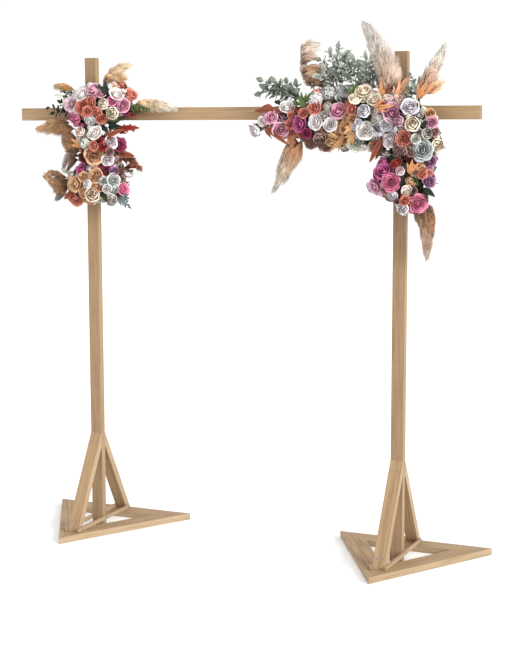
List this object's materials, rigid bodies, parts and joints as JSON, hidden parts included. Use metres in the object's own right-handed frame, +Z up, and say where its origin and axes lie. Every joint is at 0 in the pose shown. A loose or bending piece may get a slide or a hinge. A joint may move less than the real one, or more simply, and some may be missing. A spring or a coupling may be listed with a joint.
{
  "type": "wooden wedding arch with artificial flower swags",
  "caption": "Freestanding wooden wedding arch: posts on braced triangular bases carry a crossbeam dressed with silk flower, leaf and dried plume swags.",
  "frame": {"origin": "on the floor, midway between the two posts and halfway from the front to the back of the bases", "axes": "+Z up, +X along the crossbeam to the right seen from the front, +Y from the front of the arch to its back"},
  "size_m": [2.2134, 0.6225, 2.3618],
  "materials": {
    "pine": "planed pale pine, bare, with eased edges",
    "silk_pink": "silk rose petals, light and mid pink",
    "silk_white": "silk rose petals, white to grey-blue",
    "silk_cream": "silk rose petals, cream",
    "silk_peach": "silk rose petals, peach to coral",
    "silk_magenta": "silk rose petals, magenta",
    "dried_plume": "feathery dried grass heads, beige to rust",
    "sage_leaf": "fabric leaves, dusty sage to green",
    "rust_leaf": "fabric leaves, rust to orange",
    "zinc_steel": "zinc-plated bolts, washers and screws"
  },
  "bodies": {
    "root": {"left_post": "pine", "left_base_back_board": "pine", "left_base_left_board": "pine", "left_base_right_board": "pine", "left_base_left_stringer": "pine", "left_base_right_stringer": "pine", "left_front_brace": "pine", "left_back_brace": "pine", "right_post": "pine", "right_base_back_board": "pine", "right_base_left_board": "pine", "right_base_right_board": "pine", "right_base_left_stringer": "pine", "right_base_right_stringer": "pine", "right_front_brace": "pine", "right_back_brace": "pine", "crossbeam": "pine", "left_upper_blooms": "silk_pink", "left_middle_blooms": "silk_white", "left_lower_blooms": "silk_peach", "right_end_blooms": "silk_magenta", "right_centre_blooms": "silk_pink", "right_inner_blooms": "silk_cream", "right_corner_blooms": "silk_white", "right_tail_blooms": "silk_magenta", "right_tip_blooms": "silk_peach", "left_top_plume": "dried_plume", "left_beam_plume": "dried_plume", "left_outer_plume": "dried_plume", "left_middle_plume": "dried_plume", "left_lower_plume": "dried_plume", "left_upper_plume": "dried_plume", "right_curled_plume": "dried_plume", "right_tall_plume": "dried_plume", "right_corner_plume": "dried_plume", "right_low_plume": "dried_plume", "right_tail_plume": "dried_plume", "left_upper_leaf_spray": "sage_leaf", "left_outer_leaf_spray": "sage_leaf", "left_rust_leaf_spray": "rust_leaf", "left_lower_rust_spray": "rust_leaf", "left_grey_leaf_spray": "sage_leaf", "right_end_leaf_spray": "sage_leaf", "right_centre_leaf_spray": "sage_leaf", "right_inner_leaf_spray": "sage_leaf"}
  },
  "joints": []
}
